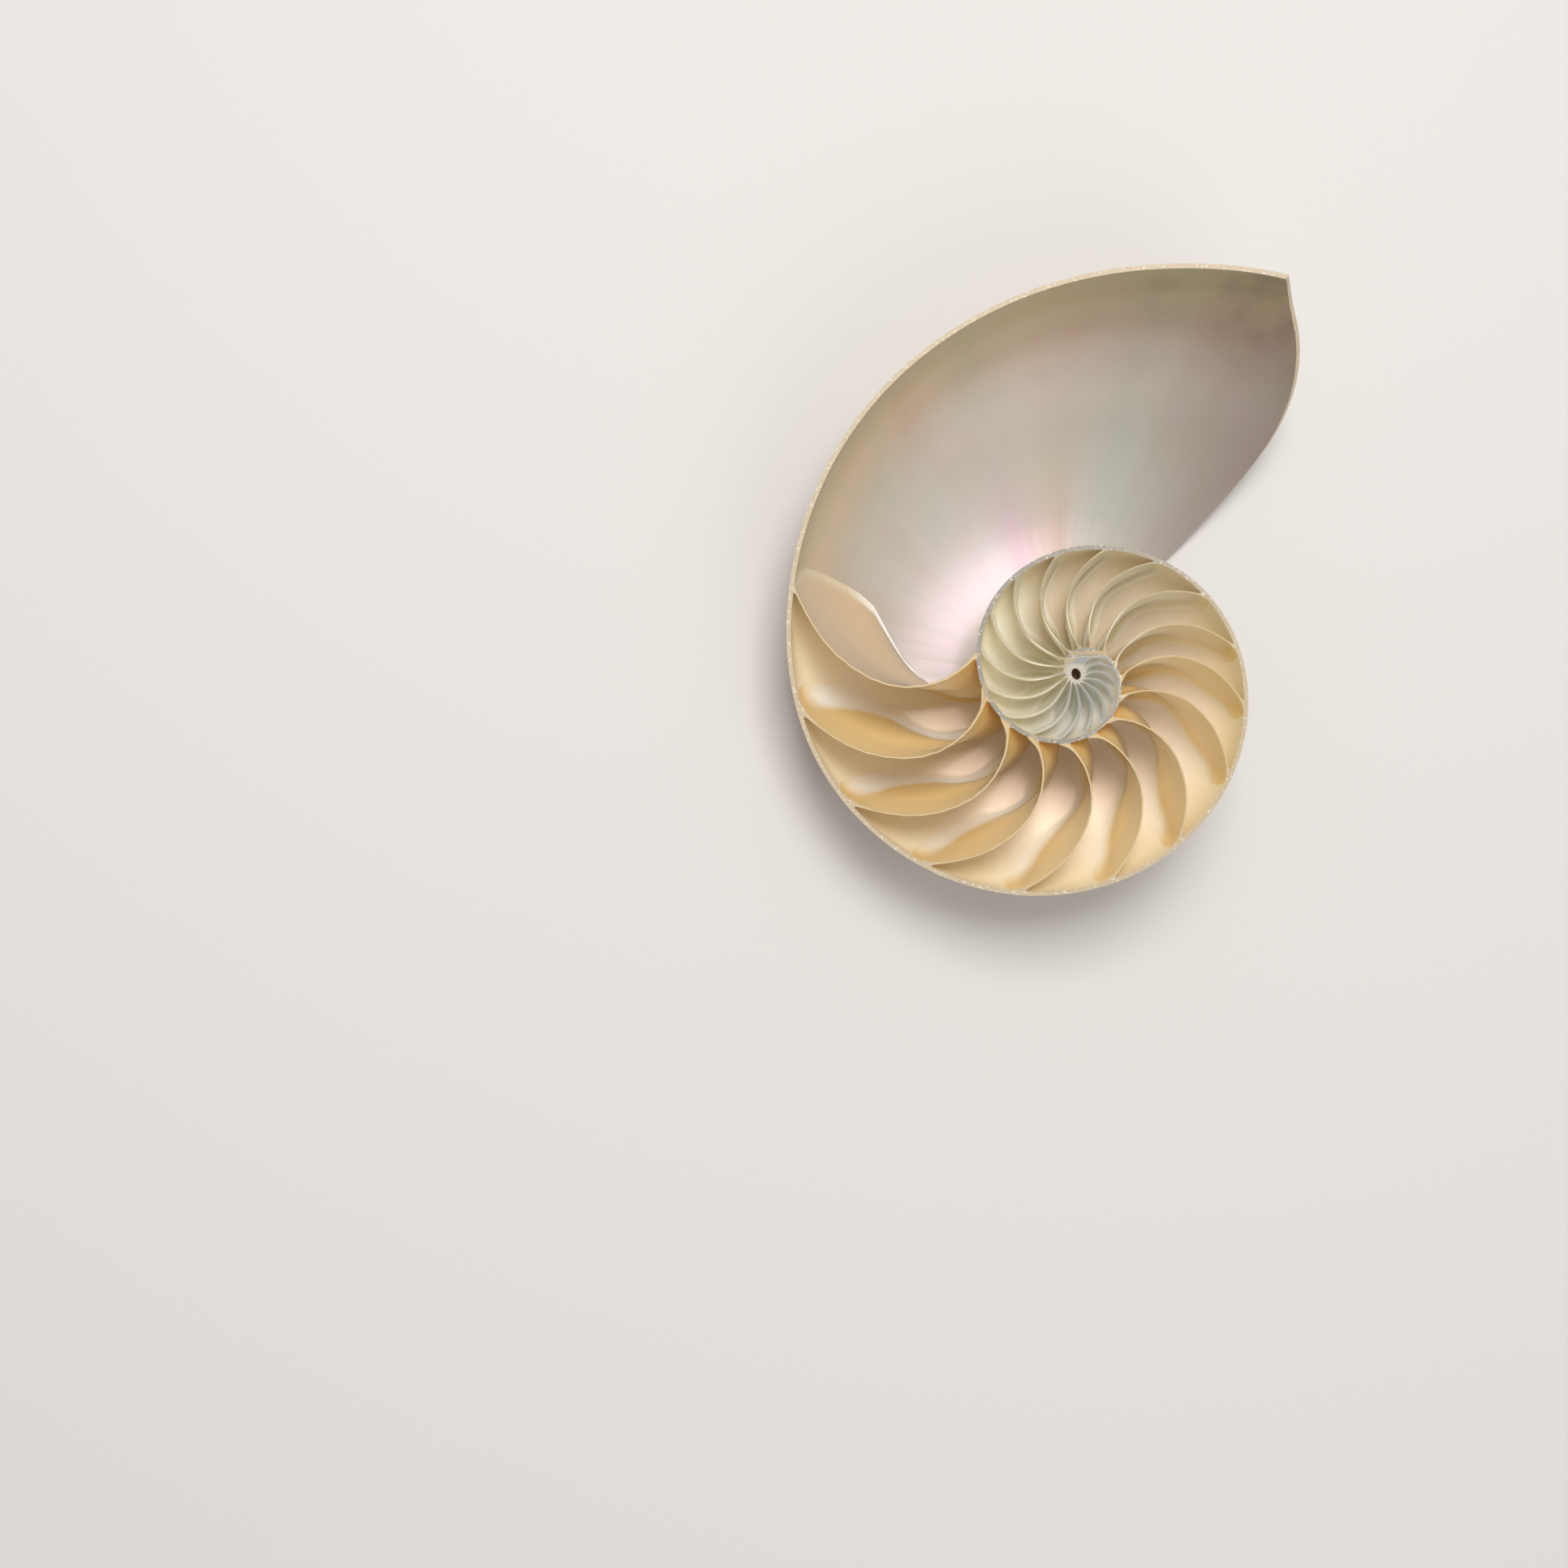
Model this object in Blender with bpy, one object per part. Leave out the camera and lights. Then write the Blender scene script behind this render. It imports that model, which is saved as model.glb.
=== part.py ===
"""Half of a chambered nautilus shell, sawn lengthwise beside its middle plane.

The shell is one closed solid. Its outside is the last whorl, closed by the
flat sawn face. Every chamber is a pocket that opens at that face: the walls
left between the pockets are the septa, the whorl walls and the lip.
Metres, +Z up. The half lies on its round flank with the sawn face upward.
"""
import math

import bmesh
import bpy
import numpy as np
from mathutils import Matrix
from mathutils import Vector

MM = 0.001
SHELL_NAME = "nautilus_shell_half"
CUTTER_NAME = "nautilus_shell_pockets"

# Coil. Angles in degrees run along the growing whorl; 0 is +X, and growth is
# clockwise seen from above. Each key is an angle and the radius, in
# millimetres from the coil axis, of the outside rim on the sawn face.
COIL_KEYS = (
    (-180.0, 2.1), (-145.0, 3.2), (-100.0, 4.9), (-15.0, 8.8), (45.0, 12.0),
    (103.0, 15.7), (171.0, 20.9), (224.0, 25.0), (270.0, 28.2), (290.0, 29.9),
    (340.0, 35.6), (400.0, 42.3), (460.0, 50.1), (520.0, 60.6), (560.0, 67.3),
    (600.0, 78.2), (640.0, 92.4), (658.0, 100.6), (690.0, 115.5),
)
WHORL = 360.0
LIP_ANGLE = 658.0

# Whorl section. The saw cut passes this far beside the middle plane.
SAW_OFFSET = 2.6 * MM
WIDEST_SHARE = 0.42
UMBILICAL_SHARE = 0.36
FLANK_POWER = 0.8
HALF_WIDTH_SHARE = 0.36
HALF_WIDTH_TAPER = -0.28
LARGEST_RADIUS = 100.0 * MM
LEAST_INNER_WIDTH = 2.9 * MM
LEAST_OUTER_WIDTH = 3.4 * MM
OUTSIDE_END = 150.0
SMALL_WHORL_END = 120.0
INSIDE_END = 90.0
SMALL_WHORL = 12.0 * MM
LARGE_WHORL = 26.0 * MM

# Thicknesses.
WALL_BASE = 0.8 * MM
WALL_GAIN = 0.005
INNER_LAYER = 0.15 * MM
SEPTUM_BASE = 0.35 * MM
SEPTUM_GAIN = 0.005
STEEPEST_SHARE = 0.35
MOST_CLEARANCE = 7.0

# Septa, by the angle at which each meets the outer wall on the sawn face.
MEASURED_SEPTA = (557.0, 532.0, 510.0, 488.0, 464.0, 440.0, 418.0, 393.0, 370.0, 350.0, 328.0)
SEPTUM_STEP = 22.5
FIRST_SEPTUM = -40.0
FINE_CHAMBER_ANGLE = 200.0

# Shape of a septum: its lag behind the outer junction, in degrees. Across the
# whorl it is given on the sawn face. Down the outer wall and down the inner
# whorl it changes from the first septa to the last.
LAG_ACROSS = ((0.0, -6.0), (0.06, -12.5), (0.17, -18.8), (0.33, -21.6), (0.5, -20.3),
              (0.65, -16.3), (0.8, -10.6), (1.0, 0.0))
LAG_OUTER_LAST = ((0.0, 0.0), (0.1, 4.0), (0.28, 5.0), (0.38, 3.8), (0.42, 0.5), (0.46, -6.0),
                  (0.5, -13.0), (0.54, -19.0), (0.62, -26.0), (0.8, -30.0), (1.0, -29.0))
LAG_OUTER_MIDDLE = ((0.0, 0.0), (0.1, 1.0), (0.2, -1.5), (0.28, -4.0), (0.38, -12.0),
                    (0.42, -18.5), (0.46, -24.0), (0.5, -26.5), (0.6, -25.0), (1.0, -22.0))
LAG_OUTER_FIRST = ((0.0, 0.0), (0.1, 2.2), (0.2, -1.5), (0.28, -5.2), (0.38, -11.4),
                   (0.46, -14.2), (0.54, -13.0), (0.62, -9.0), (1.0, -6.0))
LAG_INNER_LAST = ((0.0, -6.0), (0.2, -12.0), (0.4, -17.0), (0.7, -21.0), (1.0, -22.0))
LAG_INNER_FIRST = ((0.0, -6.0), (0.4, -4.0), (1.0, -5.0))
MIDDLE_AGE = 475.0
LAST_AGE = 557.0
YOUNG_AGE = 420.0
FIRST_AGE = 370.0
EDGE_POWER = 1.5
BOWL_FADE = 0.35

# Lip: how far its edge runs ahead of the rim, from rim to umbilicus.
LIP_LEAD = ((0.0, 0.0), (0.1, 3.0), (0.2, 7.5), (0.3, 11.5), (0.4, 14.0), (0.55, 15.0),
            (0.66, 14.0), (1.0, 4.0))
LIP_OVERRUN = 9.0

# Small hole through the first whorl, on the coil axis.
HOLE_RADIUS = 1.3 * MM
HOLE_WALL_RADIUS = 2.0 * MM
HOLE_DEPTH = 4.5 * MM
HOLE_SIDES = 14
HOLE_SQUEEZE = 0.78
HOLE_SLANT = 20.0

# Facets.
BODY_TURN_STEPS = 68
BODY_SECTION_STEPS = 12
LIVING_TURN_STEPS = 22
CHAMBER_TURN_STEPS = 3
SMALL_TURN_STEPS = 2
CROSS_ROWS = (0.0, 0.09, 0.27, 0.52, 0.78, 1.0)
CROSS_STEPS = len(CROSS_ROWS) - 1
SECTION_ROWS = (0.0, 0.2, 0.36, 0.46, 0.56, 0.76, 1.0)
SECTION_STEPS = len(SECTION_ROWS) - 1
POCKET_RISE = 0.5
SLOPE_STEP = 0.01

# Rest: the half leans until its weight is over what it touches.
LEAN_DIRECTION = -68.064
LEAN = 9.621

SHELL_COLOUR = (0.83, 0.73, 0.57, 1.0)
SHELL_ROUGHNESS = 0.32


def smooth_value(keys, at):
    """Value at a point on a smooth curve through pairs of position and value."""
    xs = [key[0] for key in keys]
    ys = [key[1] for key in keys]
    last = len(xs) - 1
    if at <= xs[0]:
        return ys[0] + (at - xs[0]) * (ys[1] - ys[0]) / (xs[1] - xs[0])
    if at >= xs[last]:
        return ys[last] + (at - xs[last]) * (ys[last] - ys[last - 1]) / (xs[last] - xs[last - 1])
    i = 0
    while at > xs[i + 1]:
        i += 1
    span = xs[i + 1] - xs[i]
    chord = (ys[i + 1] - ys[i]) / span
    before = chord
    after = chord
    if i > 0:
        before = (ys[i + 1] - ys[i - 1]) / (xs[i + 1] - xs[i - 1])
    if i + 2 <= last:
        after = (ys[i + 2] - ys[i]) / (xs[i + 2] - xs[i])
    u = (at - xs[i]) / span
    keep = 2.0 * u ** 3 - 3.0 * u ** 2 + 1.0
    lead = u ** 3 - 2.0 * u ** 2 + u
    trail = u ** 3 - u ** 2
    return keep * ys[i] + (1.0 - keep) * ys[i + 1] + span * (lead * before + trail * after)


COIL_LOG_KEYS = tuple((angle, math.log(radius * MM)) for angle, radius in COIL_KEYS)


def rim_radius(angle):
    """Radius of the outside rim on the sawn face."""
    return math.exp(smooth_value(COIL_LOG_KEYS, angle))


def half_width(rim):
    """Half of the whole whorl's width, from the middle plane to the flank."""
    return HALF_WIDTH_SHARE * rim * (rim / LARGEST_RADIUS) ** HALF_WIDTH_TAPER


def section_point(rim, width, along, end):
    """Radius and height of a whorl surface, from the sawn face to the umbilicus."""
    start = math.asin((SAW_OFFSET / width) ** (1.0 / FLANK_POWER))
    turn = start + along * (math.radians(end) - start)
    spread = WIDEST_SHARE + (1.0 - WIDEST_SHARE) * math.cos(start)
    reach = (rim - HOLE_WALL_RADIUS) / spread
    share = 1.0 - WIDEST_SHARE
    if math.cos(turn) < 0.0:
        share = UMBILICAL_SHARE
    radius = HOLE_WALL_RADIUS + reach * (WIDEST_SHARE + share * math.cos(turn))
    height = SAW_OFFSET - width * math.sin(turn) ** FLANK_POWER
    return radius, height


def place(angle, radius, height):
    """Point on the coil from its angle, radius and height."""
    turn = math.radians(angle)
    return np.array((radius * math.cos(turn), -radius * math.sin(turn), height))


def chamber_point(angle, across, along):
    """Point of a chamber between the inner whorl and the outer wall."""
    outer_rim = rim_radius(angle)
    wall = WALL_BASE + WALL_GAIN * outer_rim
    size = (outer_rim - SMALL_WHORL) / (LARGE_WHORL - SMALL_WHORL)
    end = SMALL_WHORL_END + (OUTSIDE_END - SMALL_WHORL_END) * min(max(size, 0.0), 1.0)
    outer_width = max(half_width(outer_rim) - wall, LEAST_OUTER_WIDTH)
    outer = section_point(outer_rim - wall, outer_width, along, end)
    inner_rim = max(rim_radius(angle - WHORL) + INNER_LAYER, HOLE_WALL_RADIUS)
    inner_width = max(half_width(inner_rim) + INNER_LAYER, LEAST_INNER_WIDTH)
    inner = section_point(inner_rim, inner_width, along, INSIDE_END)
    radius = inner[0] + across * (outer[0] - inner[0])
    height = inner[1] + across * (outer[1] - inner[1])
    return radius, height


def septum_lag(septum, across, along):
    """Lag of a septum behind its outer junction, bowl-shaped, in degrees."""
    last = min(max((septum - MIDDLE_AGE) / (LAST_AGE - MIDDLE_AGE), 0.0), 1.0)
    first = min(max((YOUNG_AGE - septum) / (YOUNG_AGE - FIRST_AGE), 0.0), 1.0)
    middle = smooth_value(LAG_ACROSS, across)
    chord = LAG_ACROSS[0][1] * (1.0 - across)
    bowl = (middle - chord) * (1.0 - (1.0 - BOWL_FADE) * along)
    outer = (1.0 - last - first) * smooth_value(LAG_OUTER_MIDDLE, along)
    outer += last * smooth_value(LAG_OUTER_LAST, along)
    outer += first * smooth_value(LAG_OUTER_FIRST, along)
    inner = (1.0 - first) * smooth_value(LAG_INNER_LAST, along)
    inner += first * smooth_value(LAG_INNER_FIRST, along)
    return bowl + outer * across ** EDGE_POWER + inner * (1.0 - across)


def septum_point(angle, across, along):
    """Middle of a septum."""
    at = angle + septum_lag(angle, across, along)
    radius, height = chamber_point(at, across, along)
    return place(at, radius, height)


def septum_clearance(angle, across, along):
    """Half of a septum's thickness, as degrees along the coil."""
    low_across = max(across - SLOPE_STEP, 0.0)
    high_across = min(across + SLOPE_STEP, 1.0)
    low_along = max(along - SLOPE_STEP, 0.0)
    high_along = min(along + SLOPE_STEP, 1.0)
    first = septum_point(angle, high_across, along) - septum_point(angle, low_across, along)
    second = septum_point(angle, across, high_along) - septum_point(angle, across, low_along)
    normal = np.cross(first, second)
    length = np.linalg.norm(normal)
    at = angle + septum_lag(angle, across, along)
    forward = place(at + 90.0, 1.0, 0.0)
    share = STEEPEST_SHARE
    if length > 0.0:
        share = max(abs(float(np.dot(normal, forward))) / length, STEEPEST_SHARE)
    radius, height = chamber_point(at, across, along)
    thickness = SEPTUM_BASE + SEPTUM_GAIN * rim_radius(angle)
    return min(math.degrees(0.5 * thickness / (radius * share)), MOST_CLEARANCE)


def pocket_angle(back, front, turn, across, along):
    """Angle in a pocket, from the septum behind it to the septum or lip ahead."""
    start = back + septum_lag(back, across, along) + septum_clearance(back, across, along)
    if front is None:
        stop = LIP_ANGLE + smooth_value(LIP_LEAD, along) + LIP_OVERRUN
    else:
        stop = front + septum_lag(front, across, along) - septum_clearance(front, across, along)
    return start + turn * (stop - start)


def pocket_point(back, front, turn, across, along):
    """Point of a pocket from its place along, across and down the whorl."""
    at = pocket_angle(back, front, turn, across, along)
    radius, height = chamber_point(at, across, along)
    return place(at, radius, height)


def split_block(mesh, steps):
    """Unit block cut by planes into the given number of steps each way."""
    made = bmesh.ops.create_cube(mesh, size=1.0, matrix=Matrix.Translation((0.5, 0.5, 0.5)))
    block = list(made["verts"])
    for axis in range(3):
        normal = Vector((0.0, 0.0, 0.0))
        normal[axis] = 1.0
        for step in range(1, steps[axis]):
            edges = list(dict.fromkeys(edge for vert in block for edge in vert.link_edges))
            faces = list(dict.fromkeys(face for vert in block for face in vert.link_faces))
            cut = bmesh.ops.bisect_plane(mesh, geom=block + edges + faces, dist=1e-7,
                                         plane_co=normal * (step / steps[axis]), plane_no=normal)
            block.extend(item for item in cut["geom_cut"] if isinstance(item, bmesh.types.BMVert))
    return block


def corner_sum(vert):
    """Rank of a corner along the main diagonal of the unit block."""
    return vert.co.x + vert.co.y + vert.co.z


def add_pocket(mesh, back, front, turn_steps):
    """One pocket: a split block bent into the space between two septa.

    Every square is halved along the same diagonal, so that both sides of a
    septum have the same facets.
    """
    block = split_block(mesh, (turn_steps, CROSS_STEPS, SECTION_STEPS))
    for face in list(dict.fromkeys(face for vert in block for face in vert.link_faces)):
        corners = sorted(face.verts, key=corner_sum)
        bmesh.utils.face_split(face, corners[0], corners[-1])
    for vert in block:
        turn = vert.co.x
        across = CROSS_ROWS[round(vert.co.y * CROSS_STEPS)]
        row = round(vert.co.z * SECTION_STEPS)
        point = pocket_point(back, front, turn, across, SECTION_ROWS[row])
        if row == 0:
            below = pocket_point(back, front, turn, across, SECTION_ROWS[1])
            point = point + POCKET_RISE * (point - below)
        vert.co = Vector(point)


def septum_angles():
    """Angles of all septa, from the last one back to the first."""
    angles = list(MEASURED_SEPTA)
    while angles[-1] - SEPTUM_STEP > FIRST_SEPTUM:
        angles.append(angles[-1] - SEPTUM_STEP)
    return angles


def build_pockets():
    """All pockets: the living chamber, the closed chambers and the small hole."""
    mesh = bmesh.new()
    angles = septum_angles()
    add_pocket(mesh, angles[0], None, LIVING_TURN_STEPS)
    for front, back in zip(angles[:-1], angles[1:]):
        turn_steps = SMALL_TURN_STEPS
        if front > FINE_CHAMBER_ANGLE:
            turn_steps = CHAMBER_TURN_STEPS
        add_pocket(mesh, back, front, turn_steps)
    squeeze = Matrix.Scale(HOLE_SQUEEZE, 4, Vector((1.0, 0.0, 0.0)))
    slant = Matrix.Rotation(math.radians(HOLE_SLANT), 4, "Z")
    bmesh.ops.create_cone(mesh, cap_ends=True, segments=HOLE_SIDES, radius1=HOLE_RADIUS,
                          radius2=HOLE_RADIUS, depth=2.0 * HOLE_DEPTH, matrix=slant @ squeeze)
    bmesh.ops.recalc_face_normals(mesh, faces=mesh.faces)
    return mesh


def build_body():
    """Outside of the last whorl, closed by the sawn face and by the lip's step."""
    mesh = bmesh.new()
    columns = []
    for step in range(BODY_TURN_STEPS + 1):
        column = []
        for row in range(BODY_SECTION_STEPS + 1):
            along = row / BODY_SECTION_STEPS
            lead = smooth_value(LIP_LEAD, along)
            angle = LIP_ANGLE + lead - WHORL * (1.0 - step / BODY_TURN_STEPS)
            rim = rim_radius(angle)
            radius, height = section_point(rim, half_width(rim), along, OUTSIDE_END)
            column.append(mesh.verts.new(Vector(place(angle, radius, height))))
        columns.append(column)
    depths = [column[-1].co.z for column in columns]
    axis_vert = mesh.verts.new((0.0, 0.0, sum(depths) / len(depths)))
    for left, right in zip(columns[:-1], columns[1:]):
        for row in range(BODY_SECTION_STEPS):
            mesh.faces.new((left[row], right[row], right[row + 1], left[row + 1]))
        mesh.faces.new((left[-1], right[-1], axis_vert))
    first = columns[0]
    last = columns[-1]
    for row in range(BODY_SECTION_STEPS):
        mesh.faces.new((last[row], first[row], first[row + 1], last[row + 1]))
    mesh.faces.new((last[-1], first[-1], axis_vert))
    mesh.faces.new([column[0] for column in columns])
    bmesh.ops.recalc_face_normals(mesh, faces=mesh.faces)
    return mesh


def main():
    """Build the shell half in its collections."""
    for item in list(bpy.data.objects):
        bpy.data.objects.remove(item, do_unlink=True)
    parts = bpy.data.collections.new(SHELL_NAME + "_parts")
    cutters = bpy.data.collections.new(SHELL_NAME + "_cutters")
    bpy.context.scene.collection.children.link(parts)
    bpy.context.scene.collection.children.link(cutters)

    body = build_body()
    pockets = build_pockets()
    lean_axis = Vector((math.cos(math.radians(LEAN_DIRECTION)),
                        math.sin(math.radians(LEAN_DIRECTION)), 0.0))
    lean = Matrix.Rotation(math.radians(LEAN), 4, lean_axis)
    bmesh.ops.transform(body, matrix=lean, verts=body.verts)
    bmesh.ops.transform(pockets, matrix=lean, verts=pockets.verts)
    points = np.array([vert.co[:] for vert in body.verts])
    low = points.min(axis=0)
    high = points.max(axis=0)
    shift = Matrix.Translation((-0.5 * (low[0] + high[0]), -0.5 * (low[1] + high[1]), -low[2]))
    bmesh.ops.transform(body, matrix=shift, verts=body.verts)
    bmesh.ops.transform(pockets, matrix=shift, verts=pockets.verts)

    shell_mesh = bpy.data.meshes.new(SHELL_NAME)
    body.to_mesh(shell_mesh)
    body.free()
    shell = bpy.data.objects.new(SHELL_NAME, shell_mesh)
    parts.objects.link(shell)
    pocket_mesh = bpy.data.meshes.new(CUTTER_NAME)
    pockets.to_mesh(pocket_mesh)
    pockets.free()
    cutter = bpy.data.objects.new(CUTTER_NAME, pocket_mesh)
    cutters.objects.link(cutter)
    cutter.hide_render = True
    cutter.display_type = "WIRE"

    hollow = shell.modifiers.new("chambers", "BOOLEAN")
    hollow.operation = "DIFFERENCE"
    hollow.solver = "EXACT"
    hollow.object = cutter

    nacre = bpy.data.materials.new("nacre")
    nacre.use_nodes = True
    shader = nacre.node_tree.nodes["Principled BSDF"]
    shader.inputs["Base Color"].default_value = SHELL_COLOUR
    shader.inputs["Roughness"].default_value = SHELL_ROUGHNESS
    shader.inputs["Metallic"].default_value = 0.0
    shell.data.materials.append(nacre)


main()
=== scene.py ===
"""Looks of a nautilus shell half: nacre, bowed septa, sawn face and striped outside.

One piece stands for the solid. It is the solid's own construction with finer
curves: the last whorl's outside, closed by the sawn face, and a pocket for
every chamber. Metres, +Z up.
"""
import math

import bmesh
import bpy
import numpy as np
from mathutils import Matrix
from mathutils import Vector


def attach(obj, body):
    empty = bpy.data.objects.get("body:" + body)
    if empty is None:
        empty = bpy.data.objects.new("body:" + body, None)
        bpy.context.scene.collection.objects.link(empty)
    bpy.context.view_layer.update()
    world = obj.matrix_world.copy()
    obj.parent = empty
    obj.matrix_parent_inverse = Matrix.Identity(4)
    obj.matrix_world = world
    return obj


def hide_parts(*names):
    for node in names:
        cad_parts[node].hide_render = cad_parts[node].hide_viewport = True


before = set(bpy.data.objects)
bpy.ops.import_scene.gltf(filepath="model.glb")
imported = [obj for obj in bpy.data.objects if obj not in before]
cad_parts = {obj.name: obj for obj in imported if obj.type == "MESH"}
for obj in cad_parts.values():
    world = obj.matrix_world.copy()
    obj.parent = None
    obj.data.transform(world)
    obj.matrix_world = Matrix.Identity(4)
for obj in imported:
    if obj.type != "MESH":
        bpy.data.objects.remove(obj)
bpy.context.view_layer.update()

MM = 0.001
SHELL_NODE = "nautilus_shell_half"

# Where the coil axis meets the sawn face, and how the half leans at rest.
COIL_PLACE = (2.5772 * MM, -20.8955 * MM, 28.2944 * MM)
LEAN_DIRECTION = -68.064
LEAN = 9.621

# Coil: angle along the growing whorl and rim radius in millimetres.
COIL_KEYS = (
    (-180.0, 2.1), (-145.0, 3.2), (-100.0, 4.9), (-15.0, 8.8), (45.0, 12.0),
    (103.0, 15.7), (171.0, 20.9), (224.0, 25.0), (270.0, 28.2), (290.0, 29.9),
    (340.0, 35.6), (400.0, 42.3), (460.0, 50.1), (520.0, 60.6), (560.0, 67.3),
    (600.0, 78.2), (640.0, 92.4), (658.0, 100.6), (690.0, 115.5),
)
WHORL = 360.0
LIP_ANGLE = 658.0

# Whorl section.
SAW_OFFSET = 2.6 * MM
WIDEST_SHARE = 0.42
UMBILICAL_SHARE = 0.36
FLANK_POWER = 0.8
HALF_WIDTH_SHARE = 0.36
HALF_WIDTH_TAPER = -0.28
LARGEST_RADIUS = 100.0 * MM
LEAST_INNER_WIDTH = 2.9 * MM
LEAST_OUTER_WIDTH = 3.4 * MM
OUTSIDE_END = 150.0
SMALL_WHORL_END = 120.0
INSIDE_END = 90.0
SMALL_WHORL = 12.0 * MM
LARGE_WHORL = 26.0 * MM

# Thicknesses.
WALL_BASE = 0.7 * MM
WALL_GAIN = 0.004
INNER_LAYER = 0.15 * MM
SEPTUM_BASE = 0.2 * MM
SEPTUM_GAIN = 0.003
STEEPEST_SHARE = 0.35
MOST_CLEARANCE = 7.0

# Septa, by the angle at which each meets the outer wall on the sawn face.
MEASURED_SEPTA = (557.0, 532.0, 510.0, 488.0, 464.0, 440.0, 418.0, 393.0, 370.0, 350.0, 328.0)
SEPTUM_STEP = 22.5
FIRST_SEPTUM = -40.0
LAG_ACROSS = ((0.0, -6.0), (0.06, -12.5), (0.17, -18.8), (0.33, -21.6), (0.5, -20.3),
              (0.65, -16.3), (0.8, -10.6), (1.0, 0.0))
LAG_OUTER_LAST = ((0.0, 0.0), (0.1, 4.0), (0.28, 5.0), (0.38, 3.8), (0.42, 0.5), (0.46, -6.0),
                  (0.5, -13.0), (0.54, -19.0), (0.62, -26.0), (0.8, -30.0), (1.0, -29.0))
LAG_OUTER_MIDDLE = ((0.0, 0.0), (0.1, 1.0), (0.2, -1.5), (0.28, -4.0), (0.38, -12.0),
                    (0.42, -18.5), (0.46, -24.0), (0.5, -26.5), (0.6, -25.0), (1.0, -22.0))
LAG_OUTER_FIRST = ((0.0, 0.0), (0.1, 2.2), (0.2, -1.5), (0.28, -5.2), (0.38, -11.4),
                   (0.46, -14.2), (0.54, -13.0), (0.62, -9.0), (1.0, -6.0))
LAG_INNER_LAST = ((0.0, -6.0), (0.2, -12.0), (0.4, -17.0), (0.7, -21.0), (1.0, -22.0))
LAG_INNER_FIRST = ((0.0, -6.0), (0.4, -4.0), (1.0, -5.0))
MIDDLE_AGE = 475.0
LAST_AGE = 557.0
YOUNG_AGE = 420.0
FIRST_AGE = 370.0
EDGE_POWER = 1.5
BOWL_FADE = 0.35

# Lip: how far its edge runs ahead of the rim, from rim to umbilicus.
LIP_LEAD = ((0.0, 0.0), (0.1, 3.0), (0.2, 7.5), (0.3, 11.5), (0.4, 14.0), (0.55, 15.0),
            (0.66, 14.0), (1.0, 4.0))
LIP_OVERRUN = 9.0

LIP_EDGE_MARK = 0.9

# How fast a septum's sawn edge takes its own colour, away from the inner whorl's wall.
INNER_EDGE_FADE = 12.0

# Small hole through the first whorl.
HOLE_RADIUS = 1.3 * MM
HOLE_WALL_RADIUS = 2.0 * MM
HOLE_DEPTH = 4.5 * MM
HOLE_SQUEEZE = 0.78
HOLE_SLANT = 20.0
HOLE_SIDES = 40

# Fineness of the curves.
BODY_TURN_STEPS = 360
BODY_SECTION_STEPS = 34
LIVING_TURN_STEPS = 96
CHAMBER_TURN_STEPS = 9
CROSS_STEPS = 20
SECTION_STEPS = 22
CROWDING = 0.85
SLOPE_STEP = 0.01
SEAM = 1e-7

# The finer curves bulge a little past the solid's flat facets, so they are drawn in by this.
SNUG = 0.9974

# Round corners where a septum meets the walls, as shares of the rim radius.
BOWL_CORNER = 0.048
DOME_CORNER = 0.016
LAST_CORNER = 0.012
MOST_CORNER = 5.0

# Ends of the living chamber's nacre, by the angle of growth.
OLDEST_NACRE = 545.0
YOUNGEST_NACRE = 675.0

# Finishes, in the order of the shell's material slots.
SAWN = 0
FLANK = 1
SEPTUM = 2
INNER_WALL = 3
LIVING_WALL = 4
LIVING_SEPTUM = 5
OUTSIDE = 6
HOLE = 7


def smooth_curve(keys, at):
    """Values at many points on a smooth curve through pairs of position and value."""
    xs = np.array([key[0] for key in keys])
    ys = np.array([key[1] for key in keys])
    slopes = np.empty(len(xs))
    slopes[1:-1] = (ys[2:] - ys[:-2]) / (xs[2:] - xs[:-2])
    slopes[0] = (ys[1] - ys[0]) / (xs[1] - xs[0])
    slopes[-1] = (ys[-1] - ys[-2]) / (xs[-1] - xs[-2])
    at = np.asarray(at, float)
    i = np.clip(np.searchsorted(xs, at, side="right") - 1, 0, len(xs) - 2)
    span = xs[i + 1] - xs[i]
    whole = (at - xs[i]) / span
    u = np.clip(whole, 0.0, 1.0)
    keep = 2.0 * u ** 3 - 3.0 * u ** 2 + 1.0
    lead = u ** 3 - 2.0 * u ** 2 + u
    trail = u ** 3 - u ** 2
    value = keep * ys[i] + (1.0 - keep) * ys[i + 1] + span * (lead * slopes[i] + trail * slopes[i + 1])
    beyond = (whole - u) * span * np.where(whole > 1.0, slopes[i + 1], slopes[i])
    return value + beyond


COIL_LOG_KEYS = tuple((angle, math.log(radius * MM)) for angle, radius in COIL_KEYS)


def rim_radius(angle):
    """Radius of the outside rim on the sawn face."""
    return np.exp(smooth_curve(COIL_LOG_KEYS, angle))


def half_width(rim):
    """Half of the whole whorl's width, from the middle plane to the flank."""
    return HALF_WIDTH_SHARE * rim * (rim / LARGEST_RADIUS) ** HALF_WIDTH_TAPER


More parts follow.
